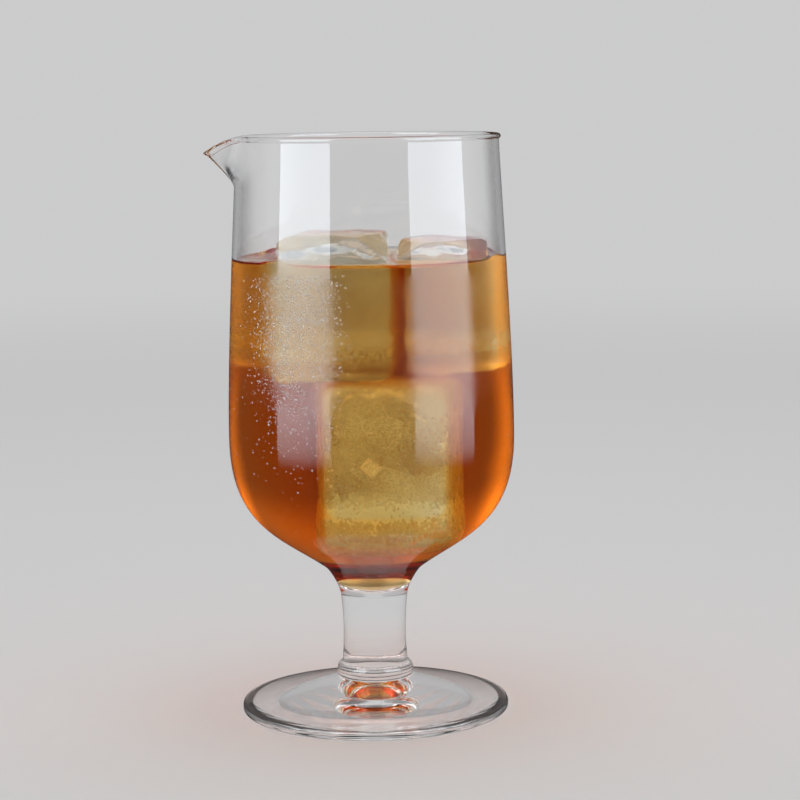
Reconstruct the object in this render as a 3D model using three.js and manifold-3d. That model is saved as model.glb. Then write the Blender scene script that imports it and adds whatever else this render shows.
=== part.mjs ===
// A stemmed mixing glass for stirred drinks, filled and iced as it stands on the bar.
// Millimetres, +Z up, the pouring spout towards -X. The origin is on the bar top, under the middle
// of the glass's box. The spout makes the box longer on one side, so the glass's own axis stands a
// little towards +X of the origin.

import * as THREE from 'three';
import { mergeVertices } from 'three/addons/utils/BufferGeometryUtils.js';
import Module from 'manifold-3d';

const wasm = await Module();
wasm.setup();

// Foot: a round plate, coned on top and hollowed below, so that only a ring touches the bar
const footRadius = 42.4;
const footHeight = 10.5;
const footTopRadius = 11.6;
const footEdgeHeight = 2.7;
const footEdgeRounding = 1.0;
const restRingWidth = 2.8;
const footHollowHeight = 4.6;

// Merese: the flattened button of glass between foot and stem
const mereseHeight = 4.4;
const mereseRadius = 12.1;

// Stem: a solid column with a slight waist
const stemHeight = 22.0;
const stemFootRadius = 10.4;
const stemWaistRadius = 9.9;
const stemTopRadius = 10.6;

// Bowl: one blown piece, with its spout pulled out of the wall and its rim melted to a bead
const bowlHeight = 145.4;
const rimRadius = 41.0;
const bellyRadius = 45.0;
const bellyHeight = 50.9;
const shoulderRadius = 15.65;
const shoulderHeight = 9.3;
const shoulderSlope = THREE.MathUtils.degToRad(36.6);
const wallThickness = 1.5;
const shoulderThickness = 1.9;
const wellFloorHeight = 1.9;
const lipThickness = 2.6;
const lipHeight = 1.9;

// How far the bowl's curves keep the direction that they start in
const rimHandleShare = 0.09;
const bellyUpperHandleShare = 0.333;
const bellyLowerHandleShare = 0.669;
const shoulderHandleShare = 0.596;
const neckHandleShare = 0.24;
const wellHandleShare = 0.67;
const wellFloorShare = 0.78;

// Spout: a pinched beak in the rim, which dips as it reaches out
const spoutReach = 10.1;
const spoutDip = 4.9;
const spoutHeight = 16.0;
const spoutHalfAngle = THREE.MathUtils.degToRad(25);
const spoutRootShare = 0.2;

// Contents: the drink, and four blocks of ice that stand in it with three tops proud of it
const iceProud = 7.0;
const drinkClearance = 0.3;
const iceClearance = 0.3;
const iceWallGap = 1.2;
const iceNeighbourGap = 1.2;
const iceSide = 35.0;
const iceCornerRadius = 4.5;
const iceEdgeRounding = 2.5;
const lowerIceHeight = 47.0;
const leftIceHeight = 46.0;
const rightIceHeight = 42.2;
const backIceHeight = 41.6;
const backIceDepth = 22.0;
const lowerIceMiddleShares = [0.094, -0.18];
const leftIceCornerAngle = THREE.MathUtils.degToRad(227.7);

// How finely round shapes are cut into facets, and how much finer beside the spout than across it
const roundSegments = 60;
const facetGathering = 0.4;
const wallSteps = 6;
const bellySteps = 9;
const neckSteps = 3;
const wellSteps = 6;
const hollowSteps = 3;
const lipSteps = 6;
const edgeSteps = 3;
const spoutSteps = 5;

// Heights of the joints, from the bar top up
const mereseBase = footHeight;
const stemBase = mereseBase + mereseHeight;
const bowlBase = stemBase + stemHeight;
const rimHeight = bowlBase + bowlHeight;
const wallTop = rimHeight - lipHeight;
const spoutRoot = rimHeight - spoutHeight;

const glassColour = 0xdfe9ec;
const drinkColour = 0xe8820f;
const iceColour = 0xe3e4e0;

function point(radius, height) {
  return new THREE.Vector2(radius, height);
}

// An outline turned about the upright axis. The facets are gathered towards the spout's plane.
function turned(outline) {
  const geometry = new THREE.LatheGeometry(outline, roundSegments);
  geometry.rotateX(Math.PI / 2);
  return reshaped(geometry, (radius, angle, height) => {
    const gathered = angle - facetGathering * Math.sin(2 * angle) / 2;
    return [radius, gathered, height];
  });
}

// Moves every corner of a turned shape. The angle is 0 at the spout and runs to a half turn each way.
function reshaped(geometry, move) {
  const corners = geometry.getAttribute('position');
  for (let i = 0; i < corners.count; i += 1) {
    const angle = Math.atan2(corners.getY(i), -corners.getX(i));
    const reach = Math.hypot(corners.getX(i), corners.getY(i));
    const [radius, turn, height] = move(reach, angle, corners.getZ(i));
    corners.setXYZ(i, -radius * Math.cos(turn), radius * Math.sin(turn), height);
  }
  return closed(geometry);
}

// The same surface with its shared corners merged
function closed(geometry) {
  geometry.deleteAttribute('normal');
  geometry.deleteAttribute('uv');
  const merged = mergeVertices(geometry);
  merged.computeVertexNormals();
  return merged;
}

// A quarter turn of an ellipse from `start` to `end`, which bulges towards `corner`
function roundedCorner(start, corner, end, steps) {
  return new THREE.QuadraticBezierCurve(start, corner, end).getPoints(steps);
}

// The wall's line from the rim to the belly, `inset` inside the bowl's outer surface
function upperWall(inset) {
  const span = wallTop - bowlBase - bellyHeight;
  const rim = point(rimRadius - inset, wallTop);
  const belly = point(bellyRadius - inset, bowlBase + bellyHeight);
  const rimHandle = point(rim.x, rim.y - span * rimHandleShare);
  const bellyHandle = point(belly.x, belly.y + span * bellyUpperHandleShare);
  return new THREE.CubicBezierCurve(rim, rimHandle, bellyHandle, belly);
}

// Where the bowl turns from its round bottom into its neck, `inset` inside the outer surface
function shoulderPoint(inset) {
  const inwards = point(-Math.sin(shoulderSlope), Math.cos(shoulderSlope));
  return point(shoulderRadius, bowlBase + shoulderHeight).addScaledVector(inwards, inset);
}

// The line from the belly down to the shoulder. The glass may be thicker at the shoulder.
function lowerWall(inset, shoulderInset) {
  const belly = point(bellyRadius - inset, bowlBase + bellyHeight);
  const shoulder = shoulderPoint(shoulderInset);
  const uphill = point(Math.cos(shoulderSlope), Math.sin(shoulderSlope));
  const bellyHandle = point(belly.x, belly.y - (belly.y - shoulder.y) * bellyLowerHandleShare);
  const handleLength = (bellyRadius - shoulderRadius) * shoulderHandleShare;
  const shoulderHandle = shoulder.clone().addScaledVector(uphill, handleLength);
  return new THREE.CubicBezierCurve(belly, bellyHandle, shoulderHandle, shoulder);
}

// The solid neck's line from the shoulder down to the joint with the stem
function neckLine() {
  const shoulder = shoulderPoint(0);
  const joint = point(stemTopRadius, bowlBase);
  const handleLength = shoulderHeight * neckHandleShare;
  const downhill = point(-Math.cos(shoulderSlope), -Math.sin(shoulderSlope));
  const shoulderHandle = shoulder.clone().addScaledVector(downhill, handleLength);
  const jointHandle = point(joint.x, joint.y + handleLength);
  return new THREE.CubicBezierCurve(shoulder, shoulderHandle, jointHandle, joint);
}

// The well's line from the inner shoulder down into the neck, to the middle of its level floor
function wellLine(shoulderInset) {
  const shoulder = shoulderPoint(shoulderInset);
  const floor = bowlBase + wellFloorHeight + shoulderInset - shoulderThickness;
  const downhill = point(-Math.cos(shoulderSlope), -Math.sin(shoulderSlope));
  const handleLength = (shoulder.y - floor) * wellHandleShare;
  const shoulderHandle = shoulder.clone().addScaledVector(downhill, handleLength);
  const floorHandle = point(shoulder.x * wellFloorShare, floor);
  return new THREE.CubicBezierCurve(shoulder, shoulderHandle, floorHandle, point(0, floor));
}

// The bead along the rim, from the outer wall over the top to the inner wall
function lipBead() {
  const middle = point(rimRadius - wallThickness / 2, rimHeight - lipHeight / 2);
  const underside = Math.asin(wallThickness / lipThickness);
  const start = underside - Math.PI / 2;
  const sweep = 2 * (Math.PI - underside);
  const bead = [];
  for (let i = 0; i <= lipSteps; i += 1) {
    const angle = start + sweep * i / lipSteps;
    const across = Math.cos(angle) * lipThickness / 2;
    const up = Math.sin(angle) * lipHeight / 2;
    bead.push(point(middle.x + across, middle.y + up));
  }
  return bead;
}

// A wall line cut to points, with extra ones where the spout leaves the wall
function wallPoints(line) {
  const points = line.getPoints(wallSteps);
  const added = [];
  for (let i = 0; i < spoutSteps; i += 1) {
    const height = spoutRoot + (wallTop - spoutRoot) * i / spoutSteps;
    added.push(point(radiusAt(points, height), height));
  }
  const below = points.filter((place) => place.y < spoutRoot);
  return [points[0], ...added.reverse(), ...below];
}

// The radius of an outline at a height
function radiusAt(points, height) {
  const next = points.findIndex((place) => place.y <= height);
  const lower = points[next];
  const upper = points[Math.max(next - 1, 0)];
  const share = upper.y > lower.y ? (height - lower.y) / (upper.y - lower.y) : 0;
  return lower.x + (upper.x - lower.x) * share;
}

// How far from the axis a corner of a block may reach
function iceReach(inside, block) {
  const low = radiusAt(inside, block.base);
  const high = radiusAt(inside, block.base + block.height);
  return Math.min(low, high) - iceWallGap;
}

// The height at which a downward outline first comes as close to the axis as a radius
function heightAt(points, radius) {
  const next = points.findIndex((place, i) => i > 0 && place.x <= radius && points[i - 1].x > radius);
  const inner = points[next];
  const outer = points[next - 1];
  const share = (radius - inner.x) / (outer.x - inner.x);
  return inner.y + (outer.y - inner.y) * share;
}

// The inside of the bowl from the rim to the middle of the well, with a film left along the glass
function insideOutline(film) {
  const inset = wallThickness + film;
  const shoulderInset = shoulderThickness + film;
  return [
    ...wallPoints(upperWall(inset)),
    ...lowerWall(inset, shoulderInset).getPoints(bellySteps).slice(1),
    ...wellLine(shoulderInset).getPoints(wellSteps).slice(1),
  ];
}

// The spout's shape: how far each corner of the wall is pulled out and down
function spoutPulled(radius, angle, height) {
  const across = Math.max(1 - Math.abs(angle) / spoutHalfAngle, 0) ** 2;
  const climb = Math.max((height - spoutRoot) / spoutHeight, 0);
  const swell = (1 + spoutRootShare) * climb * climb / (climb + spoutRootShare);
  const dip = spoutDip * across * Math.sqrt(across) * climb;
  return [radius + spoutReach * across * swell, angle, height - dip];
}

function bowlGeometry() {
  const outer = [
    ...wallPoints(upperWall(0)),
    ...lowerWall(0, 0).getPoints(bellySteps).slice(1),
    ...neckLine().getPoints(neckSteps).slice(1),
  ];
  const inner = insideOutline(0);
  const outline = [
    point(0, bowlBase),
    ...outer.reverse().slice(0, -1),
    ...lipBead(),
    ...inner.slice(1),
  ];
  return reshaped(turned(outline), spoutPulled);
}

function stemGeometry() {
  const waistPull = 2 * stemWaistRadius - (stemFootRadius + stemTopRadius) / 2;
  const side = new THREE.QuadraticBezierCurve(
    point(stemFootRadius, stemBase),
    point(waistPull, stemBase + stemHeight / 2),
    point(stemTopRadius, bowlBase),
  );
  return turned([point(0, stemBase), ...side.getPoints(neckSteps), point(0, bowlBase)]);
}

function mereseGeometry() {
  const widest = mereseBase + mereseHeight / 3;
  const lower = roundedCorner(
    point(footTopRadius, mereseBase),
    point(mereseRadius, mereseBase),
    point(mereseRadius, widest),
    edgeSteps,
  );
  const upper = roundedCorner(
    point(mereseRadius, widest),
    point(mereseRadius, stemBase),
    point(stemFootRadius, stemBase),
    edgeSteps,
  );
  return turned([point(0, mereseBase), ...lower, ...upper.slice(1), point(0, stemBase)]);
}

function footGeometry() {
  const restOuter = footRadius - footEdgeRounding;
  const restInner = restOuter - restRingWidth;
  const hollow = new THREE.QuadraticBezierCurve(
    point(0, footHollowHeight),
    point(footTopRadius, footHollowHeight),
    point(restInner, 0),
  );
  const lowerEdge = roundedCorner(
    point(restOuter, 0),
    point(footRadius, 0),
    point(footRadius, footEdgeRounding),
    edgeSteps,
  );
  const upperEdge = roundedCorner(
    point(footRadius, footEdgeHeight - footEdgeRounding),
    point(footRadius, footEdgeHeight),
    point(restOuter, footEdgeHeight),
    edgeSteps,
  );
  return turned([
    ...hollow.getPoints(hollowSteps),
    ...lowerEdge,
    ...upperEdge,
    point(footTopRadius, footHeight),
    point(0, footHeight),
  ]);
}

// A block of ice, or the pocket round it when it is grown by a margin
function iceBlockGeometry(block, margin) {
  const width = block.width + 2 * margin;
  const depth = block.depth + 2 * margin;
  const corner = iceCornerRadius + margin;
  const right = width / 2 - corner;
  const back = depth / 2 - corner;
  const plan = new THREE.Shape();
  plan.absarc(right, back, corner, 0, Math.PI / 2);
  plan.absarc(-right, back, corner, Math.PI / 2, Math.PI);
  plan.absarc(-right, -back, corner, Math.PI, 3 * Math.PI / 2);
  plan.absarc(right, -back, corner, 3 * Math.PI / 2, 2 * Math.PI);
  const geometry = new THREE.ExtrudeGeometry(plan, {
    depth: block.height + 2 * margin - 2 * iceEdgeRounding,
    bevelThickness: iceEdgeRounding,
    bevelSize: iceEdgeRounding,
    bevelOffset: -iceEdgeRounding,
    bevelSegments: edgeSteps,
    curveSegments: edgeSteps,
  });
  geometry.translate(block.x, block.y, block.base - margin + iceEdgeRounding);
  return closed(geometry);
}

// Where the ice lies. One block is low in the round bottom, and the left one stands on it. The right
// one and a slimmer one behind the left one float beside it, with a film of the drink round them.
function iceBlocks() {
  const inside = insideOutline(0);
  const bellyInside = bellyRadius - wallThickness;
  const lower = {
    x: bellyInside * lowerIceMiddleShares[0],
    y: bellyInside * lowerIceMiddleShares[1],
    width: iceSide,
    depth: iceSide,
    height: lowerIceHeight,
  };
  const toCorner = iceSide / 2 - iceCornerRadius;
  const cornerReach = Math.hypot(Math.abs(lower.x) + toCorner, Math.abs(lower.y) + toCorner);
  lower.base = heightAt(inside, cornerReach + iceCornerRadius + iceWallGap);

  const lowerTop = lower.base + lower.height;
  const left = {
    width: iceSide,
    depth: iceSide,
    height: leftIceHeight,
    base: lowerTop + iceClearance,
  };
  const leftReach = iceReach(inside, left) - iceCornerRadius;
  left.x = leftReach * Math.cos(leftIceCornerAngle) + toCorner;
  left.y = leftReach * Math.sin(leftIceCornerAngle) + toCorner;

  const floating = lowerTop + iceNeighbourGap;
  const right = { y: 0, depth: iceSide, height: rightIceHeight, base: floating };
  const rightReach = iceReach(inside, right) - iceCornerRadius;
  const rightEnd = Math.sqrt(rightReach ** 2 - toCorner ** 2) + iceCornerRadius;
  const rightStart = left.x + left.width / 2 + iceNeighbourGap;
  right.width = rightEnd - rightStart;
  right.x = (rightStart + rightEnd) / 2;

  const back = { depth: backIceDepth, height: backIceHeight, base: floating };
  const backReach = iceReach(inside, back) - iceCornerRadius;
  back.y = left.y + (left.depth + back.depth) / 2 + iceNeighbourGap;
  const backCorner = back.y + back.depth / 2 - iceCornerRadius;
  const backStart = -Math.sqrt(backReach ** 2 - backCorner ** 2) - iceCornerRadius;
  const backEnd = rightStart - iceNeighbourGap;
  back.width = backEnd - backStart;
  back.x = (backStart + backEnd) / 2;
  return { lower, left, right, back };
}

function solidOf(geometry) {
  return new wasm.Manifold(new wasm.Mesh({
    numProp: 3,
    vertProperties: geometry.getAttribute('position').array,
    triVerts: new Uint32Array(geometry.getIndex().array),
  }));
}

function geometryOf(solid) {
  const mesh = solid.getMesh();
  const geometry = new THREE.BufferGeometry();
  geometry.setAttribute('position', new THREE.BufferAttribute(mesh.vertProperties, 3));
  geometry.setIndex(new THREE.BufferAttribute(mesh.triVerts, 1));
  geometry.computeVertexNormals();
  return geometry;
}

// The drink stands as high as leaves the upper blocks proud of it
function drinkLevelRound(blocks) {
  const uppers = [blocks.left, blocks.right, blocks.back];
  return Math.min(...uppers.map((block) => block.base + block.height)) - iceProud;
}

// The drink fills the bowl up to its level, round the ice. Each pocket opens at the surface, the
// lower block's through that of the block on it.
function drinkGeometry(blocks) {
  const drinkLevel = drinkLevelRound(blocks);
  const inside = insideOutline(drinkClearance);
  const surface = point(radiusAt(inside, drinkLevel), drinkLevel);
  const below = inside.filter((place) => place.y < drinkLevel);
  let drink = solidOf(turned([point(0, drinkLevel), surface, ...below].reverse()));
  for (const block of Object.values(blocks)) {
    drink = drink.subtract(solidOf(iceBlockGeometry(block, iceClearance)));
  }
  return geometryOf(drink);
}

function glassMaterial() {
  return new THREE.MeshStandardMaterial({
    color: glassColour,
    roughness: 0.04,
    metalness: 0,
    transparent: true,
    opacity: 0.35,
  });
}

function drinkMaterial() {
  return new THREE.MeshStandardMaterial({
    color: drinkColour,
    roughness: 0.05,
    metalness: 0,
    transparent: true,
    opacity: 0.6,
  });
}

function iceMaterial() {
  return new THREE.MeshStandardMaterial({
    color: iceColour,
    roughness: 0.25,
    metalness: 0,
    transparent: true,
    opacity: 0.5,
  });
}

function named(name, geometry, material) {
  const mesh = new THREE.Mesh(geometry, material);
  mesh.name = name;
  return mesh;
}

function glassware() {
  const group = new THREE.Group();
  group.add(named('foot', footGeometry(), glassMaterial()));
  group.add(named('merese', mereseGeometry(), glassMaterial()));
  group.add(named('stem', stemGeometry(), glassMaterial()));
  group.add(named('bowl', bowlGeometry(), glassMaterial()));
  return group;
}

function contents() {
  const blocks = iceBlocks();
  const group = new THREE.Group();
  group.add(named('drink', drinkGeometry(blocks), drinkMaterial()));
  group.add(named('ice_block_lower', iceBlockGeometry(blocks.lower, 0), iceMaterial()));
  group.add(named('ice_block_left', iceBlockGeometry(blocks.left, 0), iceMaterial()));
  group.add(named('ice_block_right', iceBlockGeometry(blocks.right, 0), iceMaterial()));
  group.add(named('ice_block_back', iceBlockGeometry(blocks.back, 0), iceMaterial()));
  return group;
}

// Stands the glass so that the middle of its box is over the origin
function mixingGlass() {
  const group = new THREE.Group();
  group.add(glassware(), contents());
  const box = new THREE.Box3().setFromObject(group);
  group.position.x = -(box.min.x + box.max.x) / 2;
  return group;
}

export default mixingGlass();
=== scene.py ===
"""A stemmed mixing glass of amber drink over ice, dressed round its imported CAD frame."""

import logging
import math
import random
from contextlib import contextmanager
from dataclasses import dataclass, field
from enum import Enum
from functools import partial
from typing import Callable, ClassVar, Iterable, Iterator

import bpy
from bpy.types import Light, Material, MeshPolygon, Node, NodeSocket, Object, ShaderNodeTree
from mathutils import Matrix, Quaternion, Vector

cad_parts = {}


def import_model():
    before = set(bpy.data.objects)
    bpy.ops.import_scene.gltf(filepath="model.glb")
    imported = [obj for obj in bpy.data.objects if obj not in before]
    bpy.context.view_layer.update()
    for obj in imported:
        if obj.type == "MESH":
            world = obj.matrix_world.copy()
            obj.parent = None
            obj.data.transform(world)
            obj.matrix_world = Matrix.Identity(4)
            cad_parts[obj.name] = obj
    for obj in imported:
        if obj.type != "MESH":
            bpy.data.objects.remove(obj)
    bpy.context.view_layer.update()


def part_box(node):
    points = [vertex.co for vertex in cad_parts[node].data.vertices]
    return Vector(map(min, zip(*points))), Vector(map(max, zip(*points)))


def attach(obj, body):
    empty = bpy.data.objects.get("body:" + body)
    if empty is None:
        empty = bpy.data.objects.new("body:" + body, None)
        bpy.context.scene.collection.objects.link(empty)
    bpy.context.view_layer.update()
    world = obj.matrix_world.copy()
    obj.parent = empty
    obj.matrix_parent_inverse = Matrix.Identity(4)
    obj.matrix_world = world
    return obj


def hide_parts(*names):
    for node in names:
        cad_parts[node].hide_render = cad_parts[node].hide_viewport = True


LOG = logging.getLogger("mixing_glass")
BODY = "root"

GLASS_IOR = 1.5
MERGE_REACH = 2e-6
HAIR = 1e-6
TOUCH = 1e-5
ROW_REACH = 1e-4

OutlinePoint = tuple[float, float]
Outline = list[OutlinePoint]
Triple = tuple[float, float, float]
Chip = tuple[Triple, Triple]
# A range of values, and what its two ends turn into.
Band = tuple[float, float, float, float]


class Slot(Enum):
    """The record's material slots."""

    GLASS = "clear_glass"
    DRINK = "amber_drink"
    ICE = "ice"


class Edges(Enum):
    """Which edges of a block of ice are looked for."""

    UPRIGHT = 0
    TOP = 1
    BASE = -1


class Ray(Enum):
    """Rays by way of glass, or off it alone, by how transmission joins reflection."""

    GLASS = "ADD"
    MIRRORED = "SUBTRACT"


def cubic(corners: list[Vector], steps: int) -> Outline:
    """Cuts a cubic Bezier curve to points.

    Args:
        corners: The start, the two handles and the end.
        steps: How many equal steps of the curve's own measure.

    Returns:
        The points from start to end.
    """
    points = []
    for step in range(steps + 1):
        t = step / steps
        u = 1 - t
        shares = (u**3, 3 * u * u * t, 3 * u * t * t, t**3)
        place = sum((c * s for c, s in zip(corners, shares)), Vector((0, 0)))
        points.append((place.x, place.y))
    return points


def bend(steps: int, *places: OutlinePoint) -> Outline:
    """Cuts a quadratic Bezier curve, by its start, its handle and its end, to points."""
    start, handle, end = (Vector(place) for place in places)
    return cubic([start, start.lerp(handle, 2 / 3), end.lerp(handle, 2 / 3), end], steps)


def radius_at(outline: Outline, height: float) -> float:
    """Finds how far an outline that runs downwards is from the axis.

    Args:
        outline: Its points, from the top down.
        height: The height asked for.

    Returns:
        The radius there.
    """
    for upper, lower in zip(outline, outline[1:]):
        if lower[1] <= height <= upper[1] and upper[1] > lower[1]:
            share = (height - lower[1]) / (upper[1] - lower[1])
            return lower[0] + (upper[0] - lower[0]) * share
    return outline[0][0]


def eased(value: float, start: float, span: float) -> float:
    """Rises smoothly from 0, where a value is at the start, to 1 a span further on."""
    held = min(max((value - start) / span, 0.0), 1.0)
    return held * held * (3 - 2 * held)


def select_none() -> None:
    """Deselects every object."""
    bpy.ops.object.select_all(action="DESELECT")


def alone(piece: Object) -> None:
    """Makes a piece the active one, and the only one selected.

    Args:
        piece: The piece.
    """
    select_none()
    bpy.context.view_layer.objects.active = piece
    piece.select_set(True)


@contextmanager
def editing() -> Iterator[None]:
    """Opens edit mode on the active piece with all of it selected.

    Yields:
        Nothing, while edit mode is open.
    """
    bpy.ops.object.mode_set(mode="EDIT")
    bpy.ops.mesh.select_all(action="SELECT")
    yield
    bpy.ops.object.mode_set(mode="OBJECT")


def fix_place() -> None:
    """Applies the selected pieces' places, turns and sizes to their meshes."""
    bpy.ops.object.transform_apply(location=True, rotation=True, scale=True)


def start_piece(name: str) -> Object:
    """Names the object that an operator has just added.

    Args:
        name: The piece's name.

    Returns:
        The object.
    """
    piece = bpy.context.object
    piece.name = name
    piece.data.name = name
    return piece


def spun(name: str, outline: Outline, axis: float, facets: int) -> Object:
    """Draws an outline as a chain of corners and spins it round the upright axis.

    Args:
        name: The piece's name.
        outline: Radius and height of each corner. Both ends are on the axis.
        axis: Where the axis stands along X.
        facets: How many facets go round.

    Returns:
        The closed body, with its normals outwards.
    """
    select_none()
    bpy.ops.mesh.primitive_plane_add(size=0.001, location=(0, 0, 0))
    piece = start_piece(name)
    with editing():
        bpy.ops.mesh.select_mode(type="VERT")
        bpy.ops.mesh.merge(type="CENTER")
        bpy.ops.transform.translate(value=(-outline[0][0], 0, outline[0][1]))
        for before, after in zip(outline, outline[1:]):
            step = (before[0] - after[0], 0, after[1] - before[1])
            bpy.ops.mesh.extrude_vertices_move(TRANSFORM_OT_translate={"value": step})
        bpy.ops.mesh.select_all(action="SELECT")
        bpy.ops.mesh.spin(steps=facets, angle=math.tau, center=(0, 0, 0), axis=(0, 0, 1))
        bpy.ops.mesh.select_all(action="SELECT")
        bpy.ops.mesh.remove_doubles(threshold=MERGE_REACH)
        bpy.ops.mesh.normals_make_consistent(inside=False)
        bpy.ops.transform.translate(value=(axis, 0, 0))
    return piece


def round_corners(piece: Object, axis: float, move: Callable) -> None:
    """Moves each corner of a spun piece by its radius, its angle from the spout and its height.

    Args:
        piece: The piece.
        axis: Where the axis stands along X.
        move: Takes radius, angle and height, and gives them back moved.
    """
    for corner in piece.data.vertices:
        across, along = corner.co.y, axis - corner.co.x
        radius, angle, height = move(
            math.hypot(across, along), math.atan2(across, along), corner.co.z
        )
        corner.co = (axis - radius * math.cos(angle), radius * math.sin(angle), height)
    piece.data.update()


def gathered(radius: float, angle: float, height: float, share: float = 0.2) -> Triple:
    """Gathers the facets towards the spout's plane."""
    return radius, angle - share * math.sin(2 * angle), height


def shade_smooth(piece: Object, degrees: float) -> None:
    """Shades a piece smooth but for creases of at least so many degrees."""
    alone(piece)
    bpy.ops.object.shade_smooth_by_angle(angle=math.radians(degrees))


def apply_modifier(piece: Object, kind: str, **settings: object) -> None:
    """Adds a modifier to a piece and applies it.

    Args:
        piece: The piece.
        kind: The modifier's type.
        settings: Its settings by name.
    """
    alone(piece)
    modifier = piece.modifiers.new(kind.lower(), kind)
    for name, value in settings.items():
        setattr(modifier, name, value)
    bpy.ops.object.modifier_apply(modifier=modifier.name)


def copied(piece: Object, name: str) -> Object:
    """Copies a piece with its own mesh.

    Args:
        piece: The piece to copy.
        name: The copy's name.

    Returns:
        The copy.
    """
    copy = piece.copy()
    copy.data = piece.data.copy()
    copy.name = name
    copy.data.name = name
    bpy.context.scene.collection.objects.link(copy)
    return copy


def joined(parts: list[Object], name: str) -> Object:
    """Joins parts into one piece.

    Args:
        parts: The parts.
        name: The piece's name.

    Returns:
        The piece.
    """
    select_none()
    for part in parts:
        part.select_set(True)
    bpy.context.view_layer.objects.active = parts[0]
    bpy.ops.object.make_single_user(object=True, obdata=True)
    bpy.ops.object.join()
    fix_place()
    return start_piece(name)


def grown(piece: Object, margin: float) -> None:
    """Grows a compact piece by a margin on each side of its box.

    Args:
        piece: The piece.
        margin: How far each side moves out.
    """
    corners = [v.co.copy() for v in piece.data.vertices]
    low = Vector(min(c[i] for c in corners) for i in range(3))
    high = Vector(max(c[i] for c in corners) for i in range(3))
    middle, half = (low + high) / 2, (high - low) / 2
    scale = [(half[i] + margin) / half[i] for i in range(3)]
    for corner in piece.data.vertices:
        offset = corner.co - middle
        corner.co = middle + Vector(offset[i] * scale[i] for i in range(3))


def keep(piece: Object, slot: Slot, nodes: Iterable[str] = ()) -> None:
    """Hands a finished piece to the frame.

    Args:
        piece: The piece.
        slot: The record's material slot; not used.
        nodes: The CAD nodes that it stands for.
    """
    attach(piece, BODY)
    for node in nodes:
        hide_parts(node)
    faces = len(piece.data.polygons)
    LOG.info("%s: %d faces, stands for %s", piece.name, faces, list(nodes) or "no node")


@dataclass
class Sheet:
    """A node tree that is being filled. Inputs are named, or counted from 0."""

    tree: ShaderNodeTree

    def add(self, kind: str, feeds: dict | None = None, **settings: object) -> Node:
        """Adds a node.

        Args:
            kind: The node's type, after the words ShaderNode.
            feeds: What its inputs take.
            settings: Its settings by name.

        Returns:
            The node.
        """
        made = self.tree.nodes.new("ShaderNode" + kind)
        for name, value in settings.items():
            setattr(made, name, value)
        self.fill(made, feeds or {})
        return made

    def fill(self, node: Node, feeds: dict) -> None:
        """Sets a node's inputs to plain values, or joins them to outputs.

        Args:
            node: The node.
            feeds: What its inputs take.
        """
        for key, source in feeds.items():
            if isinstance(source, NodeSocket):
                self.tree.links.new(source, node.inputs[key])
            else:
                node.inputs[key].default_value = source

    def maths(
        self, operation: str, first: object, *more: object, clamp: bool = False
    ) -> NodeSocket:
        """Adds a Math node for each source after the first.

        Args:
            operation: What the nodes do.
            first: The first source, plain or joined.
            more: The sources after it.
            clamp: Whether the results are held between 0 and 1.

        Returns:
            The last result.
        """
        for source in more or (0.0,):
            made = self.add("Math", {0: first, 1: source}, operation=operation, use_clamp=clamp)
            first = made.outputs[0]
        return first

    def ramp(self, value: NodeSocket, band: Band) -> NodeSocket:
        """Maps a value smoothly from a band's range to its results."""
        feeds = dict(enumerate((value, *band)))
        return self.add("MapRange", feeds, interpolation_type="SMOOTHSTEP").outputs["Result"]

    def mixed(self, share: NodeSocket, start: object, end: object) -> NodeSocket:
        """Mixes two numbers by a share of the second."""
        feeds = {"Factor": share, "A": start, "B": end}
        return self.add("Mix", feeds, data_type="FLOAT").outputs["Result"]

    def noise(self, place: NodeSocket, scale: object, detail: float = 2.0) -> NodeSocket:
        """Adds a noise pattern, by its waves to the metre and its finer layers."""
        feeds = {"Vector": place, "Scale": scale, "Detail": detail}
        return self.add("TexNoise", feeds).outputs["Fac"]

    def rays(self, kind: Ray) -> NodeSocket:
        """Says whether a ray has come by way of glass, or off it.

        Args:
            kind: Which rays are meant.

        Returns:
            1 for such a ray, else 0.
        """
        path = self.add("LightPath").outputs
        glossy, through = path["Is Glossy Ray"], path["Is Transmission Ray"]
        found = self.maths(kind.value, glossy, through, clamp=True)
        return self.maths("SUBTRACT", found, path["Is Diffuse Ray"], clamp=True)


@dataclass(frozen=True)
class Grain:
    """A noise pattern, and what its heights turn into."""

    scale: float
    band: Band
    detail: float = 2.0

    def drawn(self, sheet: Sheet, place: NodeSocket) -> NodeSocket:
        """Adds the pattern to a sheet."""
        return sheet.ramp(sheet.noise(place, self.scale, self.detail), self.band)


class Pattern:
    """A shader node group on Object coordinates, built once and placed wherever it is used."""

    NAME: ClassVar[str]
    TAKES: ClassVar[dict[str, float]]

    def group(self) -> ShaderNodeTree:
        """Gives the group, built when it is first asked for.

        Returns:
            The group.
        """
        if self.NAME in bpy.data.node_groups:
            return bpy.data.node_groups[self.NAME]
        tree = bpy.data.node_groups.new(self.NAME, "ShaderNodeTree")
        ends = tree.interface
        ends.new_socket(name="Place", in_out="INPUT", socket_type="NodeSocketVector")
        for label, value in self.TAKES.items():
            socket = ends.new_socket(name=label, in_out="INPUT", socket_type="NodeSocketFloat")
            socket.default_value = value
        sheet = Sheet(tree)
        results = self.draw(sheet, tree.nodes.new("NodeGroupInput").outputs)
        for label in results:
            ends.new_socket(name=label, in_out="OUTPUT", socket_type="NodeSocketFloat")
        sheet.fill(tree.nodes.new("NodeGroupOutput"), results)
        return tree

    def draw(self, sheet: Sheet, given: dict) -> dict[str, NodeSocket]:
        """Draws the group. Each pattern has its own way."""
        raise NotImplementedError

    def outputs(self, sheet: Sheet, feeds: dict) -> dict[str, NodeSocket]:
        """Places the group in a sheet and gives its outputs."""
        return sheet.add("Group", feeds, node_tree=self.group()).outputs


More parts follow.
